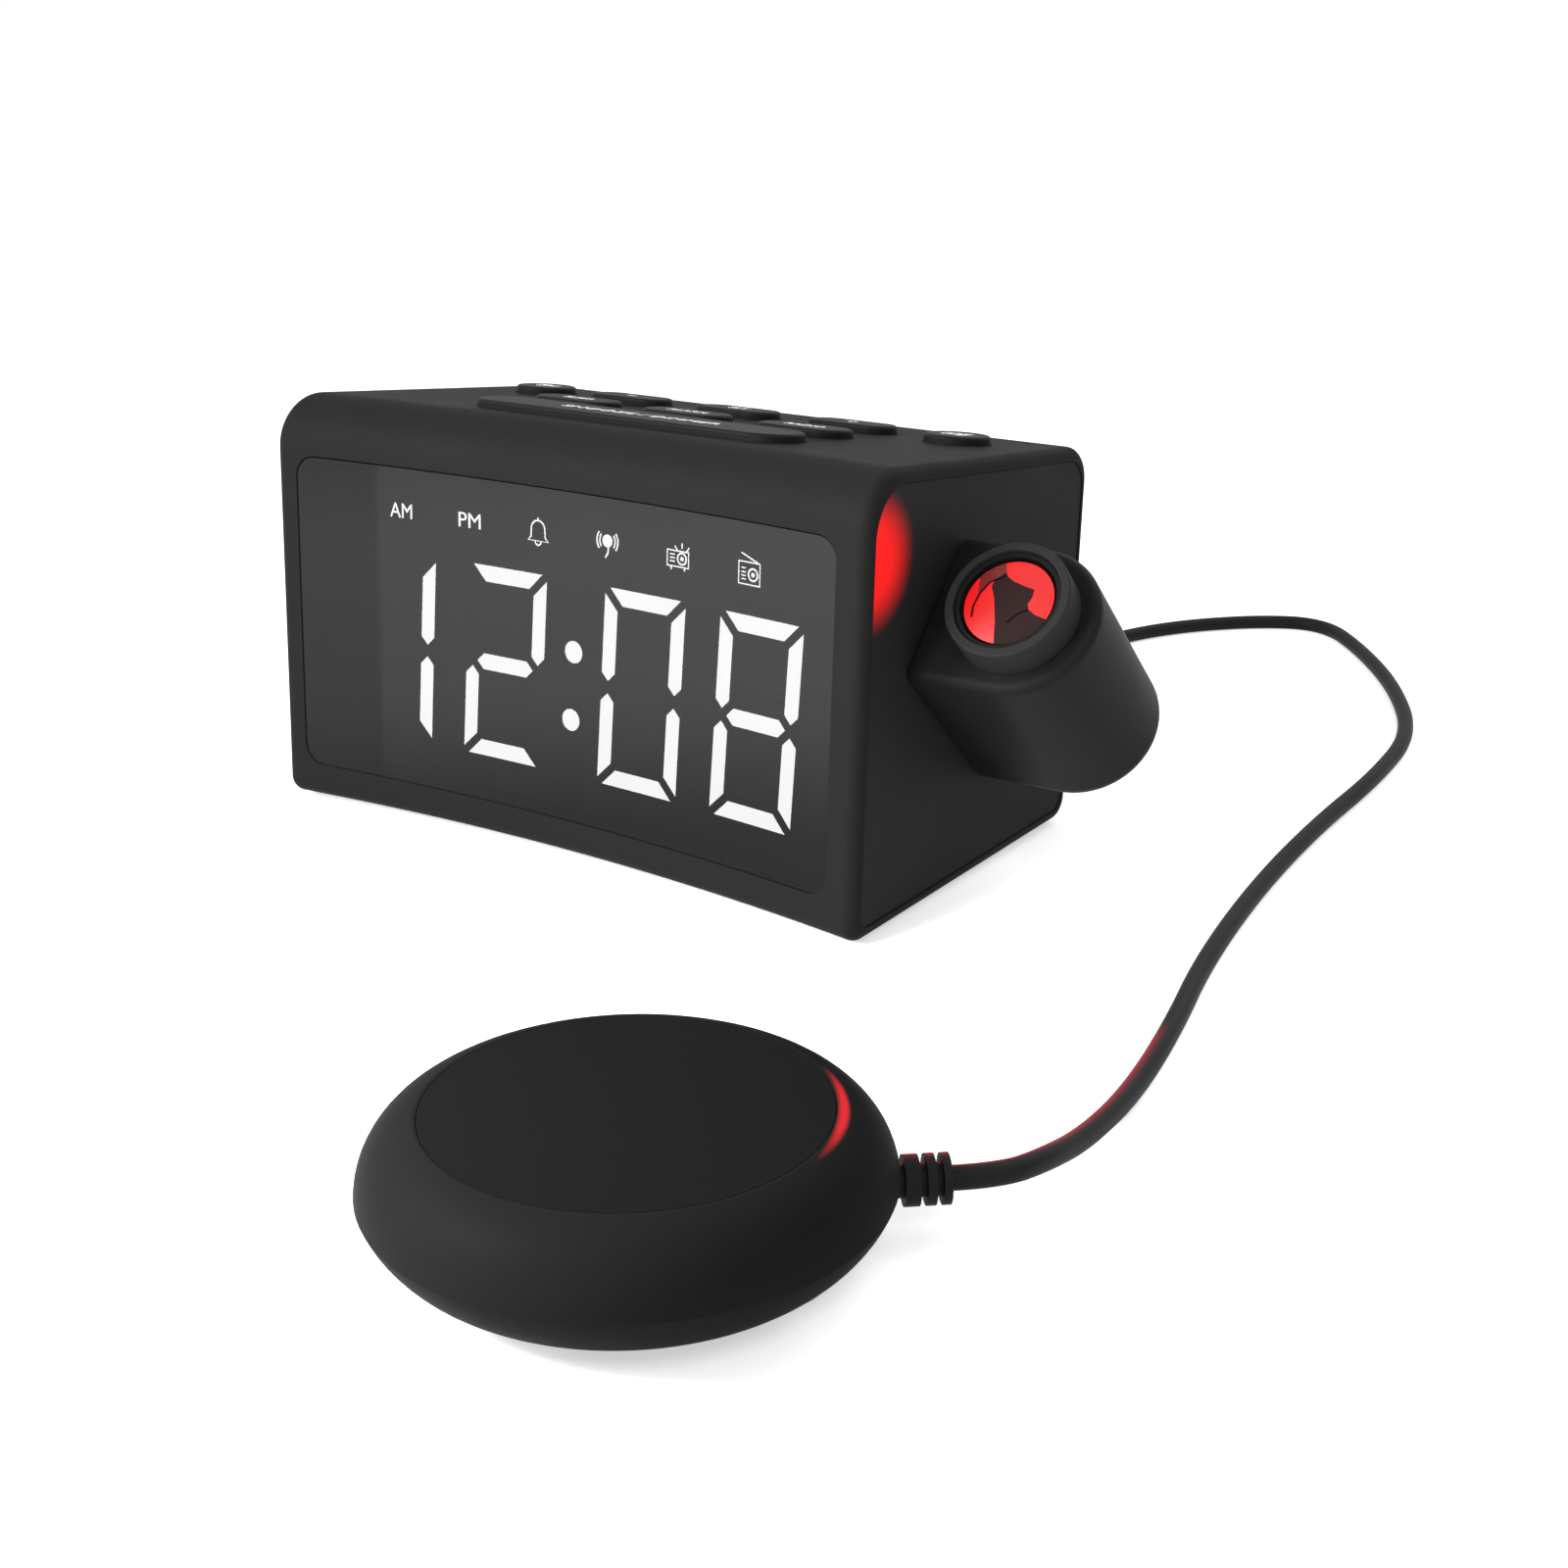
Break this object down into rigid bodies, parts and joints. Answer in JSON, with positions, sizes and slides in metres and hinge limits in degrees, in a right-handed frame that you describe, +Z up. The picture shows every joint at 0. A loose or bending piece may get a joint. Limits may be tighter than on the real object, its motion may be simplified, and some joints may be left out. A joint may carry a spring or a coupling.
{
  "type": "bed shaker alarm clock",
  "caption": "Wedge-shaped digital alarm clock with a tilting projector arm on its side and a round vibrating bed shaker on a cord.",
  "frame": {"origin": "middle of the base of everything that stands on the table, without the cord, its plug and its tip", "axes": "+Z up from the table, -Y the side that the clock's display faces, +X to the right of someone reading the display"},
  "size_m": [0.2678, 0.4852, 0.1052],
  "materials": {
    "case_black": "fine moulded texture, satin black",
    "panel_black": "satin black",
    "window_smoked": "smoked clear, polished",
    "mask_black": "dull black",
    "segment_white": "lit milky white",
    "segment_dark": "unlit smoked",
    "board_green": "lacquered glass fibre board",
    "part_black": "moulded black",
    "screw_steel": "zinc plated",
    "foot_rubber": "soft dull black",
    "bush_plastic": "natural low-friction plastic",
    "arm_black": "fine moulded texture, satin black",
    "lens_clear": "polished clear",
    "lamp_red": "clear red",
    "key_black": "satin black with printed white labels",
    "shaker_black": "satin black",
    "weight_brass": "machined",
    "cord_black": "smooth soft jacket",
    "tip_steel": "nickel plated"
  },
  "bodies": {
    "clock": {"case_shell": "case_black", "end_panel_left": "panel_black", "end_panel_right": "panel_black", "display_window": "window_smoked", "lit_segments": "segment_white", "dark_segments": "segment_dark", "display_mask": "mask_black", "display_board": "board_green", "board_screws": "screw_steel", "key_board": "board_green", "key_switches": "part_black", "rear_cover": "panel_black", "cover_screws": "screw_steel", "speaker_frame": "screw_steel", "speaker_magnet": "screw_steel", "main_board": "board_green", "board_parts": "part_black", "dc_jack": "part_black", "shaker_jack": "part_black", "backup_cell": "screw_steel", "cell_contact": "screw_steel", "rubber_feet": "foot_rubber", "pivot_bush": "bush_plastic", "friction_washer": "bush_plastic", "shaker_cover": "shaker_black", "shaker_disc": "shaker_black", "shaker_base": "shaker_black", "shaker_pad": "foot_rubber", "shaker_screws": "screw_steel", "motor": "screw_steel", "motor_strap": "screw_steel", "cord_relief": "cord_black", "shaker_cord": "cord_black", "cord_plug": "cord_black", "plug_tip": "tip_steel"},
    "snooze_bar": {"snooze_bar": "key_black"},
    "sleep_key": {"sleep_key": "key_black"},
    "alarm_key": {"alarm_key": "key_black"},
    "radio_key": {"radio_key": "key_black"},
    "minus_key": {"minus_key": "key_black"},
    "set_key": {"set_key": "key_black"},
    "plus_key": {"plus_key": "key_black"},
    "shaker_key": {"shaker_key": "key_black"},
    "projector_key": {"projector_key": "key_black"},
    "arm": {"arm_housing": "arm_black", "arm_plate": "arm_black", "arm_screws": "screw_steel", "arm_shaft": "bush_plastic", "shaft_clip": "screw_steel", "slide_tube": "part_black", "image_slide": "lens_clear", "condenser_lens": "lens_clear", "lamp_board": "board_green", "projector_lamp": "lamp_red"},
    "focus_ring": {"focus_ring": "arm_black"},
    "lens": {"lens_tube": "arm_black", "projector_lens": "lens_clear"},
    "rotor": {"motor_shaft": "screw_steel", "eccentric_weight": "weight_brass"},
    "cell_cap": {"cell_cap": "panel_black"}
  },
  "joints": [
    {"name": "snooze_bar_press", "type": "slide", "parent": "clock", "child": "snooze_bar", "axis": [0, -0.0976, -0.9952], "range_m": [0, 0.0008], "stiffness_N_per_m": 400, "springref_m": -0.001},
    {"name": "sleep_key_press", "type": "slide", "parent": "clock", "child": "sleep_key", "axis": [0, -0.0976, -0.9952], "range_m": [0, 0.0008], "stiffness_N_per_m": 400, "springref_m": -0.001},
    {"name": "alarm_key_press", "type": "slide", "parent": "clock", "child": "alarm_key", "axis": [0, -0.0976, -0.9952], "range_m": [0, 0.0008], "stiffness_N_per_m": 400, "springref_m": -0.001},
    {"name": "radio_key_press", "type": "slide", "parent": "clock", "child": "radio_key", "axis": [0, -0.0976, -0.9952], "range_m": [0, 0.0008], "stiffness_N_per_m": 400, "springref_m": -0.001},
    {"name": "minus_key_press", "type": "slide", "parent": "clock", "child": "minus_key", "axis": [0, -0.0976, -0.9952], "range_m": [0, 0.0008], "stiffness_N_per_m": 400, "springref_m": -0.001},
    {"name": "set_key_press", "type": "slide", "parent": "clock", "child": "set_key", "axis": [0, -0.0976, -0.9952], "range_m": [0, 0.0008], "stiffness_N_per_m": 400, "springref_m": -0.001},
    {"name": "plus_key_press", "type": "slide", "parent": "clock", "child": "plus_key", "axis": [0, -0.0976, -0.9952], "range_m": [0, 0.0008], "stiffness_N_per_m": 400, "springref_m": -0.001},
    {"name": "shaker_key_press", "type": "slide", "parent": "clock", "child": "shaker_key", "axis": [0, -0.0976, -0.9952], "range_m": [0, 0.0008], "stiffness_N_per_m": 400, "springref_m": -0.001},
    {"name": "projector_key_press", "type": "slide", "parent": "clock", "child": "projector_key", "axis": [0, -0.0976, -0.9952], "range_m": [0, 0.0008], "stiffness_N_per_m": 400, "springref_m": -0.001},
    {"name": "projector_arm_turn", "type": "hinge", "parent": "clock", "child": "arm", "pos_m": [0.04695, 0.08415, 0.0508], "axis": [0.9992, 0.0401, -0.002], "range_deg": [-135, 45]},
    {"name": "focus_ring_turn", "type": "hinge", "parent": "arm", "child": "focus_ring", "pos_m": [0.06858, 0.06233, 0.0719], "axis": [0.0307, -0.7307, 0.682], "range_deg": [-90, 90]},
    {"name": "lens_slide", "type": "slide", "parent": "arm", "child": "lens", "axis": [0.0307, -0.7307, 0.682], "range_m": [-0.0008, 0.0008]},
    {"name": "shaker_motor_turn", "type": "hinge", "parent": "clock", "child": "rotor", "pos_m": [0.08608, -0.09225, 0.0132], "axis": [0.7431, 0.6691, 0], "continuous": true},
    {"name": "cell_cap_turn", "type": "hinge", "parent": "clock", "child": "cell_cap", "pos_m": [-0.09692, 0.08075, 0.0012], "axis": [0, 0, 1], "range_deg": [0, 60]}
  ],
  "couplings": [
    {"joint": "focus_ring_turn", "follows": "lens_slide", "rad_per_m": 1963.4}
  ]
}
